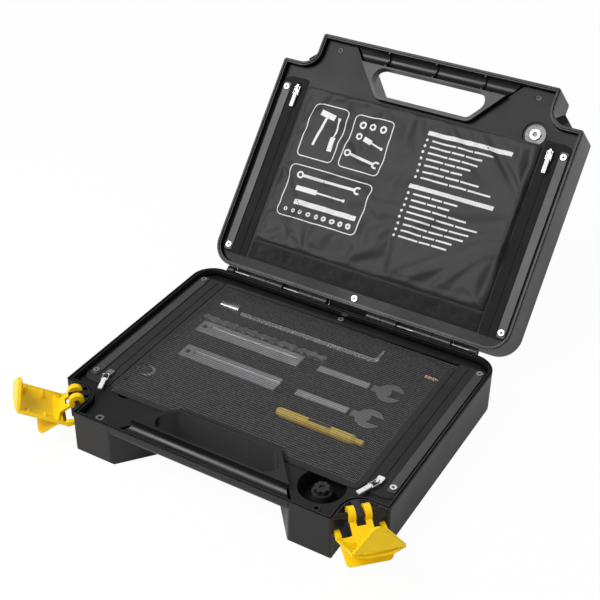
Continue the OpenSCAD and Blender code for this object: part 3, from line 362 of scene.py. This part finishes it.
LOOKS = {
    "shell": SHELL, "liner": LINER, "foam": FOAM, "mesh": NET, "zip_tape": TAPE, "strip": STRIP,
    "bright_steel": STEEL, "tool_steel": TOOL, "chain_steel": CHAIN, "yellow_plastic": SPINDLE,
    "black_rubber": RUBBER, "brass": BRASS, "black_steel": BLACK_STEEL, "latch": LATCH,
    "zinc": ZINC, "pull_tab": TAB, "pouch": TWILL, "drape": DRAPE,
}
# Pieces that look different from the rest of their slot
OWN_LOOKS = {
    "spindle_grip": GRIP, "lid_disc": DISC, "corner_bushes": EYELET,
    "hex_key": BAR_STEEL, "ring_spacer": BAR_STEEL, "hinge_pins": PIN_STEEL,
}
for entry in frame["record"]["subparts"]:
    obj = frame["nodes"][entry["node"]]
    obj.data.materials.clear()
    obj.data.materials.append(OWN_LOOKS.get(entry["node"], LOOKS[entry["material_slot"]]))

# ------------------------------------------------------------ mesh builders

# Points nearer than this, in metres, become one
MERGE = 1e-6


def show(name, data):
    """An object in the scene with this mesh."""
    obj = bpy.data.objects.new(name, data)
    scene.collection.objects.link(obj)
    return obj


def make(name, points, faces, material, soft=True):
    """A piece from points in metres, with its normals outward."""
    data = bpy.data.meshes.new(name)
    data.from_pydata([tuple(p) for p in points], [], faces)
    data.materials.append(material)
    obj = show(name, data)
    work = bmesh.new()
    work.from_mesh(data)
    bmesh.ops.remove_doubles(work, verts=work.verts, dist=MERGE)
    bmesh.ops.recalc_face_normals(work, faces=work.faces)
    work.to_mesh(data)
    work.free()
    for face in data.polygons:
        face.use_smooth = soft
    return obj


def steps(low, high, size):
    """Even steps of about a size from low to high, both included."""
    count = max(1, round((high - low) / size))
    return [low + (high - low) * k / count for k in range(count + 1)]


def grid_faces(nx, ny, flip=False, first=0):
    """Faces between the points of a grid, whose y runs fastest."""
    faces = []
    for i in range(nx - 1):
        for j in range(ny - 1):
            a = first + i * ny + j
            face = (a, a + ny, a + ny + 1, a + 1)
            faces.append(face[::-1] if flip else face)
    return faces


def lid_slab(name, xs, ys, top, bottom, material):
    """A closed form over a grid on the lid, from one height up to top(x, y)."""
    nx, ny = len(xs), len(ys)
    points = [on_lid(x, y, top(x, y)) for x in xs for y in ys]
    points += [on_lid(x, y, bottom) for x in xs for y in ys]
    half = nx * ny
    faces = grid_faces(nx, ny) + grid_faces(nx, ny, True, half)
    rim = [i * ny for i in range(nx)]
    rim += [(nx - 1) * ny + j for j in range(1, ny)]
    rim += [i * ny + ny - 1 for i in range(nx - 2, -1, -1)]
    rim += list(range(ny - 2, 0, -1))
    for k, a in enumerate(rim):
        b = rim[(k + 1) % len(rim)]
        faces.append((a, a + half, b + half, b))
    return make(name, points, faces, material)


# ------------------------------------------------------------ mesh panel

NET_X, NET_FRONT, NET_BACK, NET_CORNER = 150.0, -96.0, 137.0, 12
# The cut at the bay: half its width, its y, and how far its sides run in x for
# each mm of y. It matters within BAY_REACH of the middle.
BAY_X, BAY_Y, BAY_SLOPE, BAY_REACH = 57.0, -87.6, (104 - 57) / 57.5, 70
# The net's height over the liner at its edges, and the width that its sag needs
NET_REST, NET_SAG = 0.45, 30
NET_STEP, NET_ROWS = 3.0, 78


def net_front(x):
    """Front edge of the mesh panel: straight at the feet, cut back at the bay."""
    reach = abs(x)
    corner = max(0.0, reach - (NET_X - NET_CORNER))
    edge = NET_FRONT + (NET_CORNER - math.sqrt(max(0.0, NET_CORNER ** 2 - corner * corner)))
    if reach < BAY_REACH:
        edge = max(edge, BAY_Y - max(0.0, reach - BAY_X + 1.5) / BAY_SLOPE)
    return edge


def net_height(x, y):
    """The mesh lies on the liner's ledge and sags and ripples between its edges."""
    side = smooth((NET_X - abs(x)) / NET_SAG)
    front = smooth((y - net_front(x)) / NET_SAG)
    back = smooth((NET_BACK - y) / NET_SAG)
    mid = side * front * back
    ripple = 0.35 * fold(x * 0.012, y * 0.03, 4) + 0.2 * fold(x * 0.05, y * 0.02, 9)
    # One long fold from the front left towards the middle
    bend = math.exp(-((y + 78 - 0.75 * (x + 60) + 8 * math.sin(x * 0.05)) / 9) ** 2)
    bend *= smooth((x + 75) / 15) * smooth((30 - x) / 15)
    return NET_REST + mid * (0.25 + ripple * 0.8) + 0.5 * bend * front


def make_net():
    """A grid whose front edge follows the panel's outline."""
    xs = steps(-NET_X, NET_X, NET_STEP)
    points = []
    for x in xs:
        low = net_front(x)
        for k in range(NET_ROWS + 1):
            y = low + (NET_BACK - low) * k / NET_ROWS
            points.append(on_base(x, y, net_height(x, y)))
    return make("mesh_net", points, grid_faces(len(xs), NET_ROWS + 1), NET)


def make_binding():
    """The woven tape sewn round the edge of the net, with its rolled edge."""
    width, front_step, step, reach = 7.5, 2.5, 4, 3
    loop = [(x, net_front(x)) for x in steps(-NET_X, NET_X, front_step)]
    loop += [(NET_X, y) for y in steps(net_front(NET_X), NET_BACK, step)[1:]]
    loop += [(x, NET_BACK) for x in steps(NET_X, -NET_X, step)[1:]]
    loop += [(-NET_X, y) for y in steps(NET_BACK, net_front(-NET_X), step)[1:-1]]
    count = len(loop)
    points, faces = [], []
    # Shares of the width from the outer edge inward, and the lift at each
    across = [0.0, 0.15, 0.5, 1.0]
    lift = [0.05, 0.35, 0.38, 0.3]
    for k, (x, y) in enumerate(loop):
        xa, ya = loop[k - reach]
        xb, yb = loop[(k + reach) % count]
        dx, dy = xb - xa, yb - ya
        size = math.hypot(dx, dy)
        nx, ny = -dy / size, dx / size
        for t, up in zip(across, lift):
            px, py = x + nx * width * t, y + ny * width * t
            points.append(on_base(px, py, net_height(px, py) + up))
    per = len(across)
    for k in range(count):
        for j in range(per - 1):
            a, b = k * per + j, ((k + 1) % count) * per + j
            faces.append((a, b, b + 1, a + 1))
    return make("net_binding", points, faces, BINDING)


net_sheet = make_net()
net_edge = make_binding()
for obj in (net_sheet, net_edge):
    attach(obj, "mesh_flap")
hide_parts("mesh_panel")

# ------------------------------------------------------------ lid pouch

POUCH_X, POUCH_FRONT, POUCH_BACK, POUCH_STEP = 149.6, -86.2, 110.6, 2.7
# Heights over the liner: the pouch's bottom, the edge of its face, the most that
# its face has before it settles, and the most that it has after that
POUCH_BOTTOM, POUCH_EDGE, POUCH_FULL, POUCH_TOP = 0.15, 0.4, 9.0, 9.5
# The drape's front and back, and its steps along x and y
DRAPE_FRONT, DRAPE_BACK = POUCH_BACK + 0.6, 134.6
DRAPE_STEPS = 2.5, 1.5
DRAPE_BOTTOM, DRAPE_TOP = 0.1, 3.4
CLOTH_FRAMES = 20
# No settled point comes lower than this over the liner
CLOTH_FLOOR = 0.3
# Points this near an edge, or this near the bottom, keep their places
HELD_EDGE, HELD_BOTTOM = 3.2, 0.05


def pouch_height(x, y):
    """Height of the pouch's face: low on the left, full on the right and at the hinge end."""
    edge = min(x + POUCH_X, POUCH_X - x, y - POUCH_FRONT, POUCH_BACK - y)
    right = smooth((x + 40) / 190)
    hinge_end = smooth((y + 30) / 140)
    level = 3.2 + 3.6 * right + 1.8 * hinge_end
    ripple = 0.55 * fold(x * 0.018, y * 0.045, 1.5) + 0.3 * fold(x * 0.05, y * 0.08, 7.1)
    drag = 0.35 * math.sin((x * 0.35 + y) * 0.09) * smooth((x - 30) / 90)
    level = min(POUCH_FULL, level + ripple + drag)
    # The edge is rounded, over a width that grows with the height
    inward = min(1.0, edge / (3.0 + 0.4 * level))
    return POUCH_EDGE + (level - POUCH_EDGE) * (1 - (1 - inward) ** 2)


def cloth_settle(obj, held, grow, pressure, cap, ceiling):
    """Lets the free points of a padded form wrinkle as cloth, then sets the result.

    The cloth grows by a share and is blown up. A point moves by no more than cap
    and stays under the ceiling, both in mm.
    """
    start = [v.co.copy() for v in obj.data.vertices]
    pins = obj.vertex_groups.new(name="held")
    pins.add(held, 1.0, "REPLACE")
    mod = obj.modifiers.new("cloth", "CLOTH")
    cloth = mod.settings
    cloth.quality = 4
    cloth.mass = 0.2
    cloth.tension_stiffness = cloth.compression_stiffness = 12
    cloth.shear_stiffness = 4
    cloth.bending_stiffness = 0.4
    cloth.shrink_min = -grow
    cloth.use_pressure = True
    cloth.uniform_pressure_force = pressure
    cloth.vertex_group_mass = "held"
    cloth.effector_weights.gravity = 0
    mod.collision_settings.use_collision = False
    for k in range(1, CLOTH_FRAMES + 1):
        scene.frame_set(k)
    shown = obj.evaluated_get(bpy.context.evaluated_depsgraph_get())
    moved = [v.co.copy() for v in shown.data.vertices]
    obj.modifiers.remove(mod)
    scene.frame_set(1)
    for v, a, b in zip(obj.data.vertices, start, moved):
        way = b - a
        if way.length > cap * MM:
            way *= cap * MM / way.length
        x, y, z = from_lid(a + way)
        v.co = on_lid(x, y, max(CLOTH_FLOOR, min(ceiling, z)))
    for k in held:
        obj.data.vertices[k].co = start[k]


def padded_on_lid(name, xs, ys, height, bottom, material, grow, pressure, cap, ceiling):
    """A padded form on the lid whose upper face has settled as cloth."""
    obj = lid_slab(name, xs, ys, height, bottom, material)
    held = []
    for v in obj.data.vertices:
        x, y, z = from_lid(v.co)
        edge = min(x - xs[0], xs[-1] - x, y - ys[0], ys[-1] - y)
        if edge < HELD_EDGE or z < bottom + HELD_BOTTOM:
            held.append(v.index)
    cloth_settle(obj, held, grow, pressure, cap, ceiling)
    return obj


def make_pouch():
    """The pouch's front: a flat padded form with a slightly fuller right side."""
    xs = steps(-POUCH_X, POUCH_X, POUCH_STEP)
    ys = steps(POUCH_FRONT, POUCH_BACK, POUCH_STEP)
    return padded_on_lid("pouch_cloth", xs, ys, pouch_height, POUCH_BOTTOM, TWILL,
                         grow=0.035, pressure=1.2, cap=3.0, ceiling=POUCH_TOP)


pouch = make_pouch()
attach(pouch, "lid_flap")
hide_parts("lid_pouch")


def make_drape():
    """Loose cloth between the pouch and the hinge, in long soft folds."""
    def top(x, y):
        t = (y - DRAPE_FRONT) / (DRAPE_BACK - DRAPE_FRONT)
        long_folds = math.sin(t * 9 + 2.2 * fold(x * 0.013, 0, 3))
        folds = 0.9 + 0.75 * long_folds + 0.7 * fold(x * 0.03, y * 0.15, 5)
        edge = min(x + POUCH_X, POUCH_X - x, y - DRAPE_FRONT, DRAPE_BACK - y)
        return 0.3 + smooth(edge / 2.5) * max(0.2, min(2.6, 0.9 + folds))

    xs = steps(-POUCH_X, POUCH_X, DRAPE_STEPS[0])
    ys = steps(DRAPE_FRONT, DRAPE_BACK, DRAPE_STEPS[1])
    return padded_on_lid("lid_drape_cloth", xs, ys, top, DRAPE_BOTTOM, DRAPE,
                         grow=0.06, pressure=0.6, cap=2.0, ceiling=DRAPE_TOP)


drape = make_drape()
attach(drape, "lid")
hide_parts("lid_drape")

# ------------------------------------------------------------ print

# The print's height over the cloth and its longest edge, both in mm, and how many
# times its edges may be cut in half
PRINT_LIFT, PRINT_EDGE, PRINT_CUTS = 0.3, 2.6, 6


def direction(degrees):
    """The cosine and sine of an angle."""
    return math.cos(math.radians(degrees)), math.sin(math.radians(degrees))


class Print:
    """Flat shapes laid on the pouch's face, in the face's own x and y."""

    def __init__(self):
        self.work = bmesh.new()

    def face(self, pts):
        self.work.faces.new([self.work.verts.new((x, y, 0)) for x, y in pts])

    def bar(self, x, y, w, h, turn=0.0):
        c, s = direction(turn)
        half = [(-w / 2, -h / 2), (w / 2, -h / 2), (w / 2, h / 2), (-w / 2, h / 2)]
        self.face([(x + a * c - b * s, y + a * s + b * c) for a, b in half])

    def disc(self, x, y, r, sides):
        angles = [2 * math.pi * k / sides for k in range(sides)]
        self.face([(x + r * math.cos(a), y + r * math.sin(a)) for a in angles])

    def ring(self, x, y, r, inner, sides, turn=0.0, start=0.0, end=1.0):
        """A ring, or the part of it between two shares of its way round."""
        count = max(3, round(sides * (end - start)))
        for k in range(count):
            a = turn + 2 * math.pi * (start + (end - start) * k / count)
            b = turn + 2 * math.pi * (start + (end - start) * (k + 1) / count)
            self.face([(x + inner * math.cos(a), y + inner * math.sin(a)),
                       (x + r * math.cos(a), y + r * math.sin(a)),
                       (x + r * math.cos(b), y + r * math.sin(b)),
                       (x + inner * math.cos(b), y + inner * math.sin(b))])

    def frame(self, x0, y0, x1, y1, r=6, line=1.2):
        """A rounded frame between two corners."""
        for cx, cy, start in ((x1 - r, y1 - r, 0), (x0 + r, y1 - r, 0.25),
                              (x0 + r, y0 + r, 0.5), (x1 - r, y0 + r, 0.75)):
            self.ring(cx, cy, r, r - line, 32, 0, start, start + 0.25)
        for y in (y0 + line / 2, y1 - line / 2):
            self.bar((x0 + x1) / 2, y, x1 - x0 - 2 * r, line)
        for x in (x0 + line / 2, x1 - line / 2):
            self.bar(x, (y0 + y1) / 2, line, y1 - y0 - 2 * r)

    def spanner(self, x, y, length, turn):
        c, s = direction(turn)
        self.bar(x, y, length, 3.4, turn)
        end = length / 2 + 3.2
        self.ring(x + c * end, y + s * end, 5, 2.4, 24, math.radians(turn), 0.14, 0.86)
        self.ring(x - c * end, y - s * end, 4.4, 2.2, 20, math.radians(turn))

    def driver(self, x, y, length, turn):
        """A handle, a blade and a tip, each by its place, length and width."""
        c, s = direction(turn)
        for place, w, h in ((-0.28, length * 0.44, 6), (0.22, length * 0.56, 2), (0.5, 3, 3.4)):
            self.bar(x + c * length * place, y + s * length * place, w, h, turn)

    def hammer(self, x, y, size, turn):
        c, s = direction(turn)
        self.bar(x, y, size, 3.2, turn)
        self.bar(x + c * size * 0.5, y + s * size * 0.5, 7, size * 0.5, turn)

    def done(self, name, height, material):
        """Cuts the shapes fine, lays them on a height and makes the piece."""
        work = self.work
        bmesh.ops.triangulate(work, faces=work.faces)
        for _ in range(PRINT_CUTS):
            long_edges = [e for e in work.edges if e.calc_length() > PRINT_EDGE]
            if not long_edges:
                break
            bmesh.ops.subdivide_edges(work, edges=long_edges, cuts=1)
            bmesh.ops.triangulate(work, faces=work.faces)
        for v in work.verts:
            x, y = v.co.x, v.co.y
            v.co = on_lid(x, y, height(x, y) + PRINT_LIFT)
        data = bpy.data.meshes.new(name)
        work.to_mesh(data)
        work.free()
        data.materials.append(material)
        return show(name, data)


def settled_height(obj):
    """The height of a settled cloth over the lid's liner, found by a ray from above."""
    tree = BVHTree.FromPolygons([from_lid(v.co) for v in obj.data.vertices],
                                [tuple(f.vertices) for f in obj.data.polygons])
    above, down = 40, Vector((0, 0, -1))

    def height(x, y):
        hit = tree.ray_cast(Vector((x, y, above)), down)[0]
        return hit.z if hit else 0.0

    return height


def make_print():
    """A plain design: three frames of tool shapes and two lists of strokes."""
    p = Print()
    # y runs from the hinge end, 110, to the handle end, -86
    p.frame(-132, -68, -84, 0)
    p.frame(-76, -68, -24, 0)
    p.frame(-132, 10, -24, 74)
    p.hammer(-112, -36, 40, -80)
    p.driver(-93, -34, 40, -90)
    for k, (x, y) in enumerate(((-64, -56), (-50, -56), (-36, -56), (-64, -42))):
        p.ring(x, y, 4.6, 2.2, 6 if k % 2 else 20, 0.5)
    p.spanner(-50, -16, 32, 8)
    p.driver(-44, -37, 26, 15)
    p.spanner(-78, 22, 70, 0)
    p.driver(-84, 38, 64, 0)
    p.bar(-72, 54, 84, 6)
    for k in range(9):
        p.ring(-122 + k * 10.8, 65, 2.6 + 0.16 * k, 1.2, 6, 0.3)
    # Two lists of plain strokes, each under a solid bar
    lengths = (84, 62, 96, 72, 54, 88, 68, 78)
    row_pitch, bar_pitch, list_gap, stroke_gap = 7.3, 8.6, 5, 1.8
    y = -66
    for group, rows in enumerate((7, 8)):
        p.bar(70, y, 104, 5.2)
        y += bar_pitch
        for k in range(rows):
            size = lengths[(k * 3 + group) % len(lengths)]
            p.disc(20.5, y, 1.7, 12)
            start = 26
            for part in (0.38, 0.24, 0.3):
                w = size * part
                p.bar(start + w / 2, y, w - stroke_gap, 2.1)
                start += w
            y += row_pitch
        y += list_gap
    return p.done("pouch_print", settled_height(pouch), INK)


printed = make_print()
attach(printed, "lid_flap")

# ------------------------------------------------------------ painted shade in the rivets' recesses


def islands(obj):
    """The joined stretches of a node's mesh, in its own order, as points in metres."""
    work = bmesh.new()
    work.from_mesh(obj.data)
    seen, groups = set(), []
    for first in work.verts:
        if first in seen:
            continue
        seen.add(first)
        stack, group = [first], []
        while stack:
            v = stack.pop()
            group.append(obj.matrix_world @ v.co)
            for e in v.link_edges:
                w = e.other_vert(v)
                if w not in seen:
                    seen.add(w)
                    stack.append(w)
        groups.append(group)
    work.free()
    return groups


def painted_recess_shade(node, name, body, to_flat, from_flat):
    """A dark disc over each joined stretch of the rivets' mesh: painted shade in the recesses.

    A rivet has four such stretches. Its highest disc is the one seen, at the mouth
    of the head's recess. One lies on the recess's floor and two inside the rivet.
    """
    radius, lift, sides = 1.15, 0.05, 16
    points, faces = [], []
    for group in islands(frame["nodes"][node]):
        flat = [to_flat(p) for p in group]
        mid_x = (min(p.x for p in flat) + max(p.x for p in flat)) / 2
        mid_y = (min(p.y for p in flat) + max(p.y for p in flat)) / 2
        top = max(p.z for p in flat)
        first = len(points)
        for k in range(sides):
            a = 2 * math.pi * k / sides
            x, y = mid_x + radius * math.cos(a), mid_y + radius * math.sin(a)
            points.append(from_flat(x, y, top + lift))
        faces.append(tuple(range(first, first + sides)))
    obj = make(name, points, faces, RECESS_SHADE_PAINT, soft=False)
    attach(obj, body)


# Painted shade: a dark disc in each rivet's recess, on the base and on the lid
painted_recess_shade("base_rivets", "base_rivet_painted_shade", "base", from_base, on_base)
painted_recess_shade("lid_rivets", "lid_rivet_painted_shade", "lid", from_lid, on_lid)

# ------------------------------------------------------------ stage, light, camera


def floor():
    """White paper that glows for the camera, so that the shadows stay faint."""
    glow_share, mirrored_share, half = 0.96, 0.2, 6
    n = Nodes("floor_paper")
    path = n.add("ShaderNodeLightPath")
    mirrored = n.math("MULTIPLY", path.outputs["Is Glossy Ray"], mirrored_share)
    seen = n.math("MAXIMUM", path.outputs["Is Camera Ray"], mirrored)
    glow = n.add("ShaderNodeEmission", Color=(1, 1, 1, 1), Strength=1.0)
    n.out(Base_Color=(0.9, 0.9, 0.9, 1), Roughness=0.9)
    mix = n.add("ShaderNodeMixShader")
    n.put(mix.inputs[0], n.math("MULTIPLY", seen, glow_share))
    n.put(mix.inputs[1], n.shader.outputs[0])
    n.put(mix.inputs[2], glow.outputs[0])
    n.put(n.tree.nodes["Material Output"].inputs["Surface"], mix.outputs[0])
    corners = [(-half, -half, 0), (half, -half, 0), (half, half, 0), (-half, half, 0)]
    obj = make("floor", corners, [(0, 1, 2, 3)], n.mat)


def world():
    """White all round: full for the camera, dimmer as light on the case."""
    light, seen = 0.3, 1.0
    studio = bpy.data.worlds.new("studio")
    scene.world = studio
    studio.use_nodes = True
    tree = studio.node_tree
    back = tree.nodes["Background"]
    path = tree.nodes.new("ShaderNodeLightPath")
    strength = tree.nodes.new("ShaderNodeMapRange")
    tree.links.new(path.outputs["Is Camera Ray"], strength.inputs["Value"])
    strength.inputs["To Min"].default_value = light
    strength.inputs["To Max"].default_value = seen
    tree.links.new(strength.outputs[0], back.inputs["Strength"])
    back.inputs["Color"].default_value = (1, 1, 1, 1)


def lamp(name, place, size, power):
    """A rectangular lamp turned to the middle of the case."""
    target = Vector((0, 0.1, 0.1))
    data = bpy.data.lights.new(name, "AREA")
    data.shape = "RECTANGLE"
    data.size, data.size_y = size
    data.energy = power
    obj = bpy.data.objects.new(name, data)
    obj.location = place
    obj.rotation_euler = (target - Vector(place)).to_track_quat("-Z", "Y").to_euler()
    scene.collection.objects.link(obj)


# The camera fitted to the photograph: its turn to the right, its rise and its
# roll in degrees, its distance from LOOK_AT and its shifts in mm, and its focal
# length in pixels of a square photograph
AZIMUTH, RISE, ROLL = 29.7726, 34.3077, -0.8746
DISTANCE, SHIFT_RIGHT, SHIFT_UP = 1395.27, -54.06, 8.237
FOCAL_PIXELS, PHOTO_PIXELS, SENSOR = 1223.24, 600, 36
LOOK_AT = Vector((0, HINGE_Y, 50))


def camera():
    """The photograph's view."""
    a, e, roll = (math.radians(v) for v in (AZIMUTH, RISE, ROLL))
    back = Vector((math.sin(a) * math.cos(e), -math.cos(a) * math.cos(e), math.sin(e)))
    right = Vector((math.cos(a), math.sin(a), 0))
    up = back.cross(right)
    place = LOOK_AT + right * SHIFT_RIGHT + up * SHIFT_UP + back * DISTANCE
    side = right * math.cos(roll) - up * math.sin(roll)
    over = right * math.sin(roll) + up * math.cos(roll)
    data = bpy.data.cameras.new("photo_view")
    data.sensor_width = SENSOR
    data.lens = SENSOR * FOCAL_PIXELS / PHOTO_PIXELS
    data.clip_start, data.clip_end = 0.05, 50
    obj = bpy.data.objects.new("photo_view", data)
    turn = Matrix((side, over, back)).transposed().to_4x4()
    obj.matrix_world = Matrix.Translation(place * MM) @ turn
    scene.collection.objects.link(obj)
    scene.camera = obj


floor()
world()
# Each lamp's place, size and power, in metres and watts
lamp("key", (-0.7, -0.9, 1.5), (0.9, 0.9), 30)
lamp("side", (1.3, -0.2, 0.9), (0.7, 0.9), 2.5)
lamp("back", (-0.2, 1.4, 1.3), (1.2, 0.6), 4)
camera()
